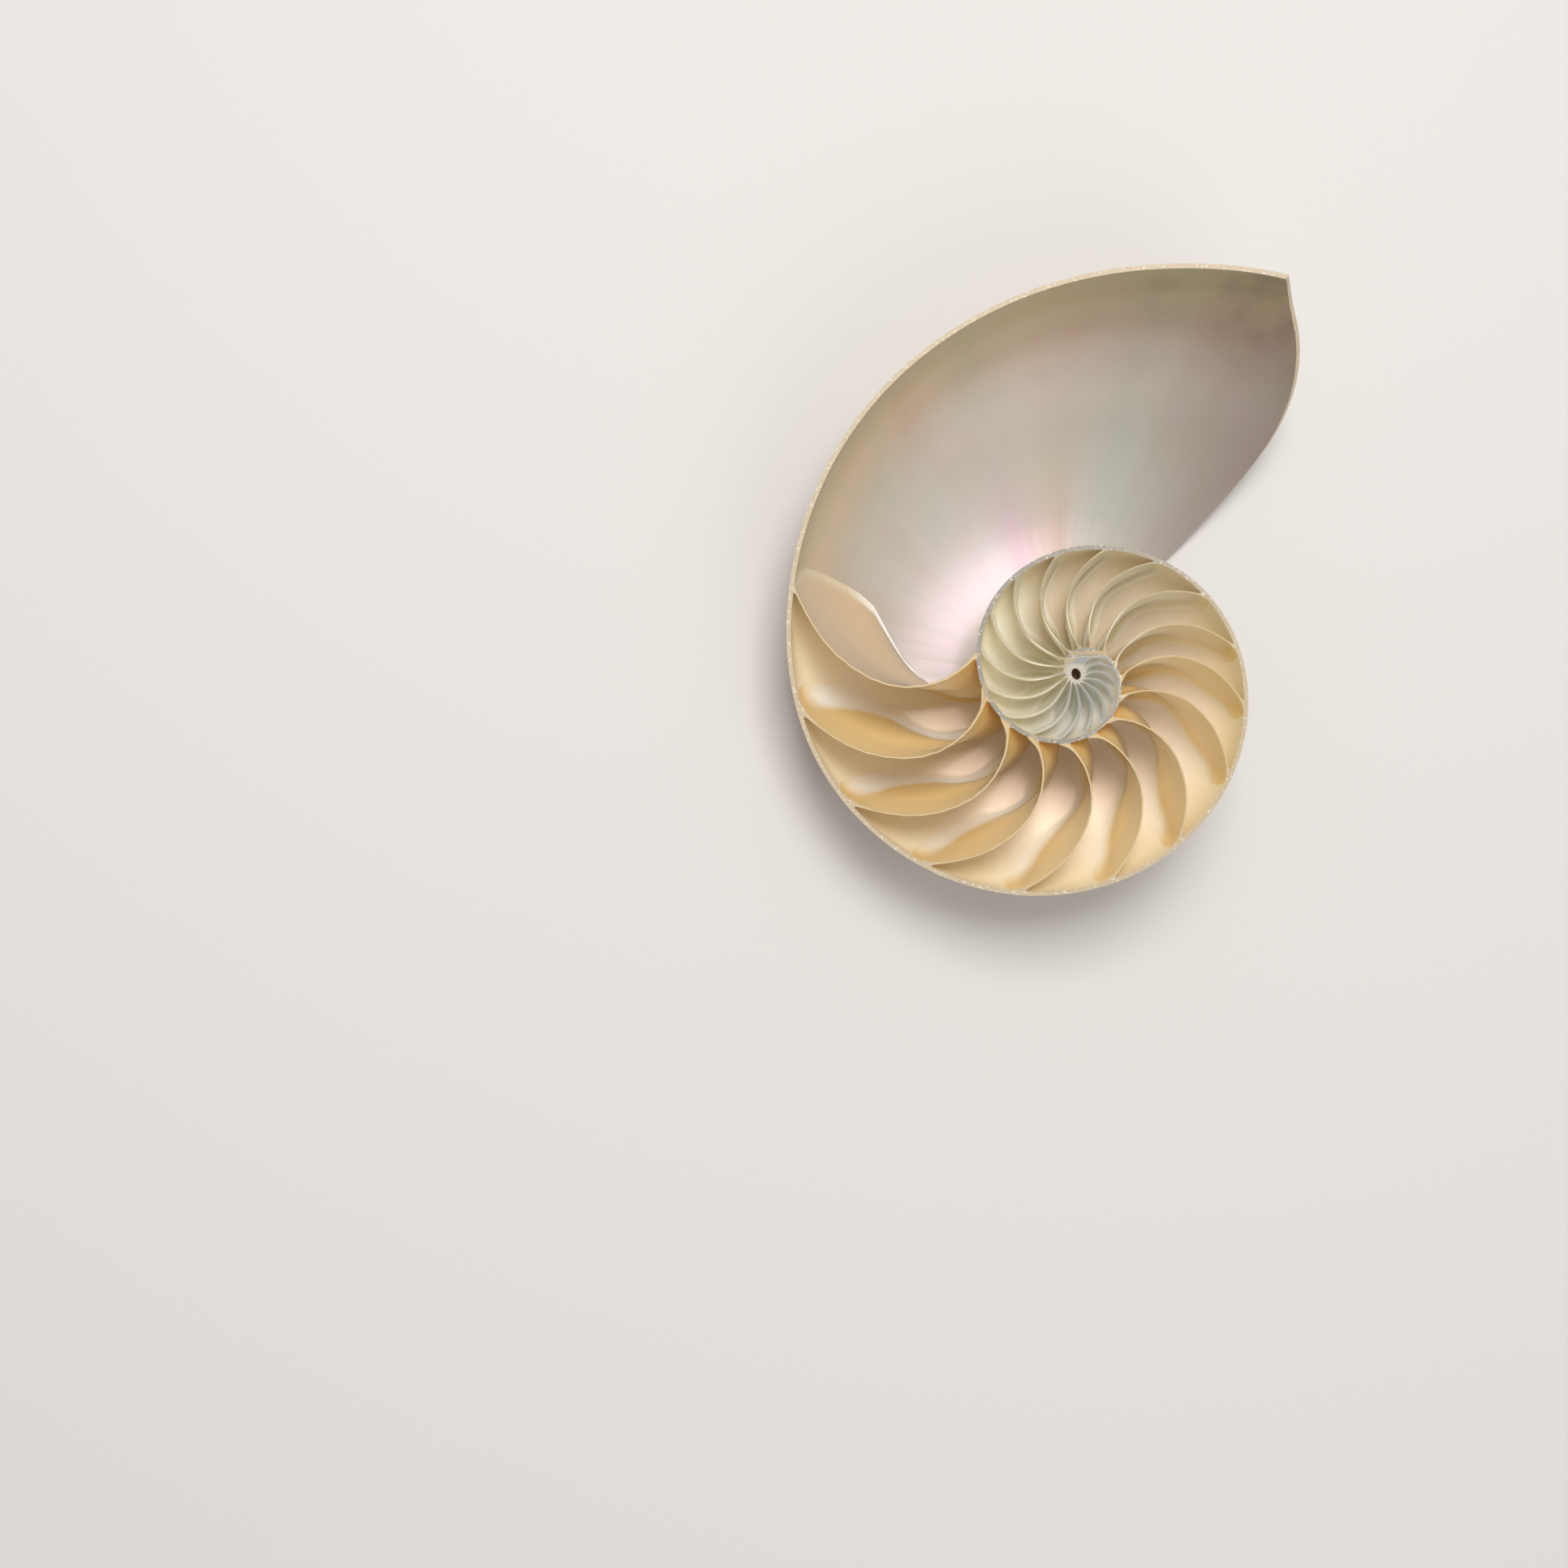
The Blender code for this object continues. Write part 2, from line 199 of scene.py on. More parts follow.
def section_point(rim, width, along, end):
    """Radius and height of a whorl surface, from the sawn face to the umbilicus."""
    start = np.arcsin((SAW_OFFSET / width) ** (1.0 / FLANK_POWER))
    turn = start + along * (np.radians(end) - start)
    spread = WIDEST_SHARE + (1.0 - WIDEST_SHARE) * np.cos(start)
    reach = (rim - HOLE_WALL_RADIUS) / spread
    share = np.where(np.cos(turn) < 0.0, UMBILICAL_SHARE, 1.0 - WIDEST_SHARE)
    radius = HOLE_WALL_RADIUS + reach * (WIDEST_SHARE + share * np.cos(turn))
    height = SAW_OFFSET - width * np.sin(turn) ** FLANK_POWER
    return radius, height


def place(angle, radius, height):
    """Points on the coil from their angles, radii and heights."""
    turn = np.radians(angle)
    across = radius * np.cos(turn)
    back = -radius * np.sin(turn)
    return np.stack([across, back, height + 0.0 * across], axis=-1)


def chamber_point(angle, across, along):
    """Radius and height between the inner whorl and the outer wall."""
    outer_rim = rim_radius(angle)
    wall = WALL_BASE + WALL_GAIN * outer_rim
    size = np.clip((outer_rim - SMALL_WHORL) / (LARGE_WHORL - SMALL_WHORL), 0.0, 1.0)
    end = SMALL_WHORL_END + (OUTSIDE_END - SMALL_WHORL_END) * size
    outer_width = np.maximum(half_width(outer_rim) - wall, LEAST_OUTER_WIDTH)
    outer = section_point(outer_rim - wall, outer_width, along, end)
    inner_rim = np.maximum(rim_radius(angle - WHORL) + INNER_LAYER, HOLE_WALL_RADIUS)
    inner_width = np.maximum(half_width(inner_rim) + INNER_LAYER, LEAST_INNER_WIDTH)
    inner = section_point(inner_rim, inner_width, along, INSIDE_END)
    radius = inner[0] + across * (outer[0] - inner[0])
    height = inner[1] + across * (outer[1] - inner[1])
    return radius, height


def septum_lag(septum, across, along):
    """Lag of a septum behind its outer junction, bowl-shaped, in degrees."""
    last = min(max((septum - MIDDLE_AGE) / (LAST_AGE - MIDDLE_AGE), 0.0), 1.0)
    first = min(max((YOUNG_AGE - septum) / (YOUNG_AGE - FIRST_AGE), 0.0), 1.0)
    middle = smooth_curve(LAG_ACROSS, across)
    chord = LAG_ACROSS[0][1] * (1.0 - across)
    bowl = (middle - chord) * (1.0 - (1.0 - BOWL_FADE) * along)
    outer = (1.0 - last - first) * smooth_curve(LAG_OUTER_MIDDLE, along)
    outer = outer + last * smooth_curve(LAG_OUTER_LAST, along)
    outer = outer + first * smooth_curve(LAG_OUTER_FIRST, along)
    inner = (1.0 - first) * smooth_curve(LAG_INNER_LAST, along)
    inner = inner + first * smooth_curve(LAG_INNER_FIRST, along)
    return bowl + outer * across ** EDGE_POWER + inner * (1.0 - across)


def septum_point(angle, across, along):
    """Middle of a septum."""
    at = angle + septum_lag(angle, across, along)
    radius, height = chamber_point(at, across, along)
    return place(at, radius, height)


def septum_clearance(angle, across, along):
    """Half of a septum's thickness, as degrees along the coil."""
    low_across = np.maximum(across - SLOPE_STEP, 0.0)
    high_across = np.minimum(across + SLOPE_STEP, 1.0)
    low_along = np.maximum(along - SLOPE_STEP, 0.0)
    high_along = np.minimum(along + SLOPE_STEP, 1.0)
    first = septum_point(angle, high_across, along) - septum_point(angle, low_across, along)
    second = septum_point(angle, across, high_along) - septum_point(angle, across, low_along)
    normal = np.cross(first, second)
    length = np.maximum(np.linalg.norm(normal, axis=-1), 1e-15)
    at = angle + septum_lag(angle, across, along)
    forward = place(at + 90.0, 1.0, 0.0)
    share = np.maximum(np.abs(np.sum(normal * forward, axis=-1)) / length, STEEPEST_SHARE)
    radius = chamber_point(at, across, along)[0]
    thickness = SEPTUM_BASE + SEPTUM_GAIN * rim_radius(angle)
    return np.minimum(np.degrees(0.5 * thickness / (radius * share)), MOST_CLEARANCE)


def corner_leans(septum, across, along, share):
    """How far a septum's point lies into the round corner at each wall, from 0 to 1."""
    at = septum + septum_lag(septum, across, along)
    outer_radius, outer_height = chamber_point(at, 1.0, along)
    inner_radius, inner_height = chamber_point(at, 0.0, along)
    width = np.hypot(outer_radius - inner_radius, outer_height - inner_height)
    size = share * rim_radius(septum)
    outer = np.clip(1.0 - width * (1.0 - across) / size, 0.0, 1.0)
    inner = np.clip(1.0 - width * across / size, 0.0, 1.0)
    return outer, inner


def corner_fill(septum, across, along, share):
    """Nacre that rounds the corner between a septum and the walls, in degrees."""
    at = septum + septum_lag(septum, across, along)
    size = share * rim_radius(septum)
    outer, inner = corner_leans(septum, across, along, share)
    fill = size * (2.0 - np.sqrt(1.0 - outer ** 2) - np.sqrt(1.0 - inner ** 2))
    radius = chamber_point(at, across, along)[0]
    return np.minimum(np.degrees(fill / radius), MOST_CORNER)


def pocket_angle(back, front, turn, across, along):
    """Angle in a pocket, from the septum behind it to the septum or lip ahead."""
    bowl_corner = BOWL_CORNER if front else LAST_CORNER
    start = back + septum_lag(back, across, along) + septum_clearance(back, across, along)
    start = start + corner_fill(back, across, along, bowl_corner)
    if front is None:
        stop = LIP_ANGLE + smooth_curve(LIP_LEAD, along) + LIP_OVERRUN
    else:
        stop = front + septum_lag(front, across, along) - septum_clearance(front, across, along)
        stop = stop - corner_fill(front, across, along, DOME_CORNER)
    return start + turn * (stop - start)


def pocket_point(back, front, turn, across, along):
    """Points of a pocket and their angles. Above the sawn face its walls run on straight."""
    under = np.maximum(along, 0.0)
    angle = pocket_angle(back, front, turn, across, under)
    radius, height = chamber_point(angle, across, under)
    point = place(angle, radius, height)
    below_angle = pocket_angle(back, front, turn, across, under + SLOPE_STEP)
    below_radius, below_height = chamber_point(below_angle, across, under + SLOPE_STEP)
    below = place(below_angle, below_radius, below_height)
    rise = np.maximum(-along, 0.0) / SLOPE_STEP
    return point + rise[..., None] * (point - below), angle


def cross_row(share):
    """Rows across a whorl crowd at both walls, where the corners are round."""
    return share - CROWDING * np.sin(2.0 * math.pi * share) / (2.0 * math.pi)


def section_row(share):
    """Rows down a whorl start half a row above the sawn face."""
    half_row = 0.5 / (SECTION_STEPS - 0.5)
    return share * (1.0 + half_row) - half_row


def add_patch(mesh, columns, rows, finish, shape):
    """One curved grid. The shape gives its points, growth coordinates and corner marks."""
    growth = mesh.loops.layers.uv["growth"]
    corners = mesh.loops.layers.uv["corners"]
    made = bmesh.ops.create_grid(mesh, x_segments=columns, y_segments=rows, size=0.5)
    verts = made["verts"]
    flat = np.array([(vert.co.x + 0.5, vert.co.y + 0.5) for vert in verts])
    points, turns, downs, leans, shares = shape(flat[:, 0], flat[:, 1])
    marks = {}
    for vert, point, turn, down, lean, share in zip(verts, points, turns, downs, leans, shares):
        vert.co = Vector(point)
        marks[vert] = ((turn, down), (lean, share))
    for face in {face for vert in verts for face in vert.link_faces}:
        face.material_index = finish
        face.smooth = True
        for corner in face.loops:
            corner[growth].uv, corner[corners].uv = marks[corner.vert]


def add_pocket(mesh, back, front, turn_steps, wall_finish, septum_finish):
    """One pocket: six curved grids that meet at their edges."""

    def marked(turn, across, along, lean):
        points, angle = pocket_point(back, front, turn, across, along)
        return points, angle / WHORL, along, lean, across

    def behind(u, v):
        across, along = cross_row(u), section_row(v)
        bowl_corner = BOWL_CORNER if front else LAST_CORNER
        lean = corner_leans(back, across, np.maximum(along, 0.0), bowl_corner)[0]
        return marked(0.0 * u, across, along, lean)

    def ahead(u, v):
        return marked(0.0 * u + 1.0, cross_row(u), section_row(v), 0.0 * u)

    def outer(u, v):
        return marked(u, 0.0 * u + 1.0, section_row(v), 0.0 * u)

    def inner(u, v):
        return marked(u, 0.0 * u, section_row(v), 0.0 * u)

    def deepest(u, v):
        return marked(u, cross_row(v), 0.0 * u + 1.0, 0.0 * u)

    def lid(u, v):
        return marked(u, cross_row(v), section_row(0.0 * u), 0.0 * u)

    add_patch(mesh, CROSS_STEPS, SECTION_STEPS, septum_finish, behind)
    add_patch(mesh, CROSS_STEPS, SECTION_STEPS, septum_finish, ahead)
    add_patch(mesh, turn_steps, SECTION_STEPS, wall_finish, outer)
    add_patch(mesh, turn_steps, SECTION_STEPS, INNER_WALL, inner)
    add_patch(mesh, turn_steps, CROSS_STEPS, wall_finish, deepest)
    add_patch(mesh, turn_steps, CROSS_STEPS, wall_finish, lid)


def septum_angles():
    """Angles of all septa, from the last one back to the first."""
    angles = list(MEASURED_SEPTA)
    while angles[-1] - SEPTUM_STEP > FIRST_SEPTUM:
        angles.append(angles[-1] - SEPTUM_STEP)
    return angles


def marked_mesh():
    """An empty bmesh with maps for growth and for round corners."""
    mesh = bmesh.new()
    mesh.loops.layers.uv.new("growth")
    mesh.loops.layers.uv.new("corners")
    return mesh


def build_pockets():
    """All pockets: the living chamber, the closed chambers and the small hole."""
    mesh = marked_mesh()
    angles = septum_angles()
    add_pocket(mesh, angles[0], None, LIVING_TURN_STEPS, LIVING_WALL, LIVING_SEPTUM)
    for front, back in zip(angles[:-1], angles[1:]):
        add_pocket(mesh, back, front, CHAMBER_TURN_STEPS, FLANK, SEPTUM)
    bmesh.ops.remove_doubles(mesh, verts=mesh.verts, dist=SEAM)
    squeeze = Matrix.Scale(HOLE_SQUEEZE, 4, Vector((1.0, 0.0, 0.0)))
    slant = Matrix.Rotation(math.radians(HOLE_SLANT), 4, "Z")
    made = bmesh.ops.create_cone(mesh, cap_ends=True, segments=HOLE_SIDES, radius1=HOLE_RADIUS,
                                 radius2=HOLE_RADIUS, depth=2.0 * HOLE_DEPTH, matrix=slant @ squeeze)
    for face in {face for vert in made["verts"] for face in vert.link_faces}:
        face.material_index = HOLE
        face.smooth = True
    bmesh.ops.recalc_face_normals(mesh, faces=mesh.faces)
    return mesh


def body_point(turn, along):
    """Points of the last whorl's outside, with their growth coordinates."""
    angle = LIP_ANGLE + smooth_curve(LIP_LEAD, along) - WHORL * (1.0 - turn)
    rim = rim_radius(angle)
    radius, height = section_point(rim, half_width(rim), along, OUTSIDE_END)
    return place(angle, radius, height), angle / WHORL, along, 0.0 * along, along


def build_body():
    """Outside of the last whorl, closed by the sawn face and by the lip's step."""
    mesh = marked_mesh()

    def outside(u, v):
        return body_point(u, v)

    def step(u, v):
        small, turn, down, lean, share = body_point(0.0 * v, v)
        large = body_point(0.0 * v + 1.0, v)[0]
        points = small + u[:, None] * (large - small)
        return points, 0.0 * turn + LIP_EDGE_MARK, 0.0 * down + 1.0, lean, share

    add_patch(mesh, BODY_TURN_STEPS, BODY_SECTION_STEPS, OUTSIDE, outside)
    add_patch(mesh, 1, BODY_SECTION_STEPS, SAWN, step)
    bmesh.ops.remove_doubles(mesh, verts=mesh.verts, dist=SEAM)
    open_edges = [edge for edge in mesh.edges if edge.is_boundary]
    filled = bmesh.ops.holes_fill(mesh, edges=open_edges, sides=0)
    for face in filled["faces"]:
        on_rim = all(abs(vert.co.z) < SEAM for vert in face.verts)
        if on_rim:
            face.material_index = SAWN
            face.smooth = False
        else:
            bmesh.ops.poke(mesh, faces=[face])
    bmesh.ops.recalc_face_normals(mesh, faces=mesh.faces)
    return mesh


def mesh_object(name, mesh):
    """An object of a finished bmesh, in the scene."""
    data = bpy.data.meshes.new(name)
    mesh.to_mesh(data)
    mesh.free()
    made = bpy.data.objects.new(name, data)
    bpy.context.scene.collection.objects.link(made)
    return made


def rest_matrix():
    """Turns the coil's own frame into the resting pose."""
    axis = Vector((math.cos(math.radians(LEAN_DIRECTION)), math.sin(math.radians(LEAN_DIRECTION)), 0.0))
    return Matrix.Translation(COIL_PLACE) @ Matrix.Rotation(math.radians(LEAN), 4, axis)


def mark_sawn_face(mesh):
    """Marks of the sawn face: radius in decimetres, nearness to a wall, age, place across."""
    growth = mesh.uv_layers["growth"]
    corners = mesh.uv_layers["corners"]
    for face in mesh.polygons:
        if face.material_index != SAWN or abs(face.normal.z) < 0.99:
            continue
        for corner in face.loop_indices:
            spot = mesh.vertices[mesh.loops[corner].vertex_index].co
            radius = math.hypot(spot.x, spot.y)
            angle = math.degrees(math.atan2(-spot.y, spot.x)) % WHORL
            if angle < LIP_ANGLE - WHORL:
                angle += WHORL
            outer = rim_radius(angle)
            inner = rim_radius(angle - WHORL)
            while radius < inner - SEAM and inner > HOLE_WALL_RADIUS:
                angle -= WHORL
                outer = inner
                inner = rim_radius(angle - WHORL)
            across = (radius - inner) / (outer - inner)
            nearness = max(2.0 * across - 1.0, 1.0 - INNER_EDGE_FADE * across, 0.0)
            growth.data[corner].uv = (radius * 10.0, nearness)
            corners.data[corner].uv = (0.5 * angle / WHORL, across)


def build_shell():
    """The dressed shell half, hollowed and laid at rest."""
    shell = mesh_object("shell_half", build_body())
    pockets = mesh_object("pockets", build_pockets())
    for finish in shell_finishes():
        shell.data.materials.append(finish)
        pockets.data.materials.append(finish)
    hollow = shell.modifiers.new("hollow", "BOOLEAN")
    hollow.operation = "DIFFERENCE"
    hollow.solver = "MANIFOLD"
    hollow.object = pockets
    bpy.context.view_layer.update()
    seen = shell.evaluated_get(bpy.context.evaluated_depsgraph_get())
    whole = bpy.data.meshes.new_from_object(seen)
    shell.modifiers.clear()
    shell.data = whole
    bpy.data.objects.remove(pockets, do_unlink=True)
    mark_sawn_face(whole)
    whole.transform(rest_matrix() @ Matrix.Scale(SNUG, 4))
    whole.set_sharp_from_angle(angle=math.radians(50.0))
    return shell


def new_finish(name, roughness, coat, coat_roughness):
    """A material with its shader's uniform values set."""
    finish = bpy.data.materials.new(name)
    finish.use_nodes = True
    shader = finish.node_tree.nodes["Principled BSDF"]
    shader.inputs["Roughness"].default_value = roughness
    shader.inputs["Coat Weight"].default_value = coat
    shader.inputs["Coat Roughness"].default_value = coat_roughness
    return finish, shader


def thin_film(shader, thickness, film_index, index):
    """Colour play of nacre in its reflections. The film's thickness is in nanometres."""
    shader.inputs["IOR"].default_value = index
    shader.inputs["Thin Film Thickness"].default_value = thickness
    shader.inputs["Thin Film IOR"].default_value = film_index


def glow(shader):
    """Light that spreads inside thin, translucent nacre."""
    shader.inputs["Subsurface Weight"].default_value = 0.45
    shader.inputs["Subsurface Radius"].default_value = (1.0, 0.92, 0.86)
    shader.inputs["Subsurface Scale"].default_value = 0.004


def tinted(finish, colour, tint):
    """A colour multiplied by a tint."""
    mix = add_node(finish, "ShaderNodeMix", data_type="RGBA", blend_type="MULTIPLY")
    mix.inputs[0].default_value = 1.0
    wire(finish, colour, mix.inputs[6])
    wire(finish, tint, mix.inputs[7])
    return mix.outputs[2]


def add_node(finish, kind, **values):
    """A node with values set on its properties or on its sockets by name."""
    node = finish.node_tree.nodes.new(kind)
    for key, value in values.items():
        if hasattr(node, key):
            setattr(node, key, value)
        else:
            node.inputs[key.replace("_", " ").title()].default_value = value
    return node


def wire(finish, source, target):
    """A link from one socket to another."""
    finish.node_tree.links.new(source, target)


def corner_marks(finish):
    """How far a point lies into a septum's round corner, and its place across the whorl."""
    marks = add_node(finish, "ShaderNodeUVMap", uv_map="corners")
    split = add_node(finish, "ShaderNodeSeparateXYZ")
    wire(finish, marks.outputs["UV"], split.inputs["Vector"])
    return split.outputs["X"], split.outputs["Y"]


def growth_marks(finish):
    """Angle along the whorl in turns, and place from rim to umbilicus."""
    marks = add_node(finish, "ShaderNodeUVMap", uv_map="growth")
    split = add_node(finish, "ShaderNodeSeparateXYZ")
    wire(finish, marks.outputs["UV"], split.inputs["Vector"])
    return split.outputs["X"], split.outputs["Y"]


def colour_ramp(finish, source, stops):
    """Colours along a value from 0 to 1."""
    ramp = add_node(finish, "ShaderNodeValToRGB")
    points = ramp.color_ramp.elements
    while len(points) < len(stops):
        points.new(0.5)
    for point, (at, colour) in zip(points, stops):
        point.position = at
        point.color = (*colour, 1.0)
    wire(finish, source, ramp.inputs["Fac"])
    return ramp.outputs["Color"]


def cloud(finish, scale, detail, vector=None):
    """Soft noise on Object coordinates, or on a given vector."""
    noise = add_node(finish, "ShaderNodeTexNoise")
    noise.inputs["Scale"].default_value = scale
    noise.inputs["Detail"].default_value = detail
    if vector is None:
        spot = add_node(finish, "ShaderNodeTexCoord")
        vector = spot.outputs["Object"]
    wire(finish, vector, noise.inputs["Vector"])
    return noise.outputs["Fac"]


def blend_colours(finish, share, first, second):
    """Mix of two colours, each a socket or plain values."""
    mix = add_node(finish, "ShaderNodeMix", data_type="RGBA")
    for socket, value in ((mix.inputs[0], share), (mix.inputs[6], first), (mix.inputs[7], second)):
        if isinstance(value, bpy.types.NodeSocket):
            wire(finish, value, socket)
        elif socket.type == "RGBA":
            socket.default_value = (*value, 1.0)
        else:
            socket.default_value = value
    return mix.outputs[2]


def relief(finish, shader, height, distance, strength):
    """Fine relief on a surface."""
    bump = add_node(finish, "ShaderNodeBump")
    bump.inputs["Strength"].default_value = strength
    bump.inputs["Distance"].default_value = distance
    wire(finish, height, bump.inputs["Height"])
    wire(finish, bump.outputs["Normal"], shader.inputs["Normal"])


def stretched_marks(finish, along_scale, down_scale):
    """Growth coordinates stretched, so that noise on them runs as growth lines."""
    turn, down = growth_marks(finish)
    longer = add_node(finish, "ShaderNodeMath", operation="MULTIPLY")
    longer.inputs[1].default_value = along_scale
    wire(finish, turn, longer.inputs[0])
    shorter = add_node(finish, "ShaderNodeMath", operation="MULTIPLY")
    shorter.inputs[1].default_value = down_scale
    wire(finish, down, shorter.inputs[0])
    joined = add_node(finish, "ShaderNodeCombineXYZ")
    wire(finish, longer.outputs[0], joined.inputs["X"])
    wire(finish, shorter.outputs[0], joined.inputs["Y"])
    return joined.outputs["Vector"]


def sawn_finish():
    """Sawn edges: grey walls round the inner whorls, cream rim, golden septum edges, with painted glints along the
    second whorl's septum edges.
    """
    finish, shader = new_finish("sawn_edge", 0.5, 0.1, 0.3)
    radius, nearness = growth_marks(finish)
    wall = colour_ramp(finish, radius, ((0.017, (0.46, 0.43, 0.37)), (0.026, (0.46, 0.43, 0.37)),
                                        (0.034, (0.23, 0.22, 0.21)), (0.09, (0.20, 0.19, 0.17)),
                                        (0.29, (0.26, 0.24, 0.21)), (0.36, (0.47, 0.37, 0.24)),
                                        (0.75, (0.52, 0.42, 0.28)), (1.0, (0.50, 0.40, 0.28))))
    age, across = corner_marks(finish)
    septum = colour_ramp(finish, age, ((0.12, (0.25, 0.26, 0.27)), (0.20, (0.40, 0.32, 0.18)),
                                       (0.38, (0.37, 0.29, 0.16)), (0.48, (0.50, 0.36, 0.17)),
                                       (0.60, (0.60, 0.44, 0.23))))
    centre = colour_ramp(finish, radius, ((0.024, (1.0, 1.0, 1.0)), (0.030, (0.0, 0.0, 0.0))))
    septum = blend_colours(finish, centre, septum, (0.46, 0.43, 0.37))
    # Painted glints: pale streaks along the second whorl's septum edges, a third of the way out from the inner wall.
    gleam = colour_ramp(finish, across, ((0.10, (0.0, 0.0, 0.0)), (0.22, (1.0, 1.0, 1.0)),
                                         (0.36, (1.0, 1.0, 1.0)), (0.54, (0.0, 0.0, 0.0))))
    second_whorl = colour_ramp(finish, age, ((0.18, (0.0, 0.0, 0.0)), (0.24, (0.6, 0.6, 0.6)),
                                             (0.42, (0.5, 0.5, 0.5)), (0.50, (0.0, 0.0, 0.0))))
    septum = blend_colours(finish, tinted(finish, gleam, second_whorl), septum, (0.98, 0.88, 0.64))
    share = colour_ramp(finish, nearness, ((0.86, (0.0, 0.0, 0.0)), (0.93, (1.0, 1.0, 1.0))))
    grain = cloud(finish, 1400.0, 4.0)
    colour = blend_colours(finish, share, septum, wall)
    dusty = blend_colours(finish, grain, (0.42, 0.35, 0.25), (0.80, 0.72, 0.58))
    colour = blend_colours(finish, 0.12, colour, dusty)
    chips = colour_ramp(finish, cloud(finish, 1700.0, 3.0), ((0.56, (0.0, 0.0, 0.0)), (0.68, (0.7, 0.7, 0.7))))
    colour = blend_colours(finish, tinted(finish, chips, share), colour, (0.80, 0.75, 0.66))
    wire(finish, colour, shader.inputs["Base Color"])
    relief(finish, shader, grain, 0.0003, 0.4)
    return finish


def age_ramp(finish, stops):
    """Colours by age, from 0 at the coil's centre to 1 after two turns."""
    turn = growth_marks(finish)[0]
    halved = add_node(finish, "ShaderNodeMath", operation="MULTIPLY")
    halved.inputs[1].default_value = 0.5
    wire(finish, turn, halved.inputs[0])
    return colour_ramp(finish, halved.outputs[0], stops)


def whorl_tones(finish, first, second, third, last):
    """Colour by age: the first whorl, both halves of the second, and the chambers of the last."""
    return age_ramp(finish, ((0.14, first), (0.21, second), (0.30, second),
                             (0.36, third), (0.44, third), (0.50, last)))


def flank_finish():
    """Whorl wall seen inside a closed chamber: cream and lightest midway down; painted shade makes it warmer near the
    sawn face and darker deep down.
    """
    finish, shader = new_finish("chamber_wall", 0.36, 0.30, 0.15)
    turn, down = growth_marks(finish)
    tone = whorl_tones(finish, (0.76, 0.75, 0.70), (1.0, 0.97, 0.86), (0.80, 0.73, 0.61),
                       (1.0, 0.93, 0.77))
    # Painted shade: warmer and a little darker near the sawn face, darker deep down towards the umbilicus.
    painted_shade_by_depth = colour_ramp(finish, down, ((0.0, (1.0, 0.87, 0.68)), (0.16, (1.0, 0.93, 0.84)),
                                      (0.34, (1.0, 1.0, 1.0)), (0.9, (0.90, 0.85, 0.77))))
    colour = tinted(finish, tone, painted_shade_by_depth)
    lines = cloud(finish, 1.0, 3.0, stretched_marks(finish, 60.0, 2.0))
    colour = tinted(finish, colour, blend_colours(finish, lines, (0.90, 0.87, 0.82), (1.0, 1.0, 1.0)))
    wire(finish, colour, shader.inputs["Base Color"])
    thin_film(shader, 424.0, 1.43, 1.6)
    glow(shader)
    return finish


def septum_finish():
    """Golden septum between closed chambers, pearly where it rounds into the wall, there partly painted sheen. Painted
    shade near the inner whorl, painted glints in the newest chambers and on the second whorl.
    """
    finish, shader = new_finish("septum", 0.34, 0.36, 0.14)
    turn, down = growth_marks(finish)
    lean, across = corner_marks(finish)
    tone = whorl_tones(finish, (0.74, 0.73, 0.68), (1.0, 0.92, 0.72), (0.78, 0.66, 0.46),
                       (0.88, 0.62, 0.29))
    # Painted shade: darker and browner near the inner whorl.
    painted_shade_near_coil = colour_ramp(finish, across, ((0.02, (0.78, 0.62, 0.43)), (0.18, (1.0, 1.0, 1.0))))
    tone = tinted(finish, tone, painted_shade_near_coil)
    patches = cloud(finish, 45.0, 3.0)
    colour = tinted(finish, tone, blend_colours(finish, patches, (0.92, 0.87, 0.78), (1.0, 1.0, 1.0)))
    # The round corner takes the wall's pale nacre, partly its own colour and partly painted sheen.
    pearl_and_sheen = whorl_tones(finish, (0.80, 0.79, 0.74), (1.0, 0.97, 0.86), (0.88, 0.82, 0.69),
                        (0.94, 0.86, 0.71))
    share = colour_ramp(finish, lean, ((0.25, (0.0, 0.0, 0.0)), (0.90, (1.0, 1.0, 1.0))))
    deep = colour_ramp(finish, down, ((0.06, (0.0, 0.0, 0.0)), (0.20, (1.0, 1.0, 1.0))))
    colour = blend_colours(finish, tinted(finish, share, deep), colour, pearl_and_sheen)
    # Painted glint: a near-white band along the round corner of the newest chambers, below the sawn face.
    glint = colour_ramp(finish, lean, ((0.25, (0.0, 0.0, 0.0)), (0.50, (1.0, 1.0, 1.0)),
                                       (0.80, (1.0, 1.0, 1.0)), (1.0, (0.2, 0.2, 0.2))))
    newest = age_ramp(finish, ((0.60, (0.0, 0.0, 0.0)), (0.67, (0.4, 0.4, 0.4)), (0.71, (0.9, 0.9, 0.9))))
    glint = tinted(finish, glint, tinted(finish, newest, deep))
    colour = blend_colours(finish, glint, colour, (1.0, 0.99, 0.93))
    # Painted glints: pale streaks across the second whorl's septa, a third of the way out from the inner wall.
    painted_glint_streak = colour_ramp(finish, across, ((0.10, (0.0, 0.0, 0.0)), (0.24, (1.0, 1.0, 1.0)),
                                          (0.30, (1.0, 1.0, 1.0)), (0.48, (0.0, 0.0, 0.0))))
    painted_glint_streak = tinted(finish, painted_glint_streak, whorl_tones(finish, (0.3, 0.3, 0.3), (0.9, 0.9, 0.9), (1.0, 1.0, 1.0),
                                                 (0.0, 0.0, 0.0)))
    colour = blend_colours(finish, painted_glint_streak, colour, (1.0, 0.98, 0.86))
    wire(finish, colour, shader.inputs["Base Color"])
    thin_film(shader, 424.0, 1.43, 1.6)
    glow(shader)
    return finish


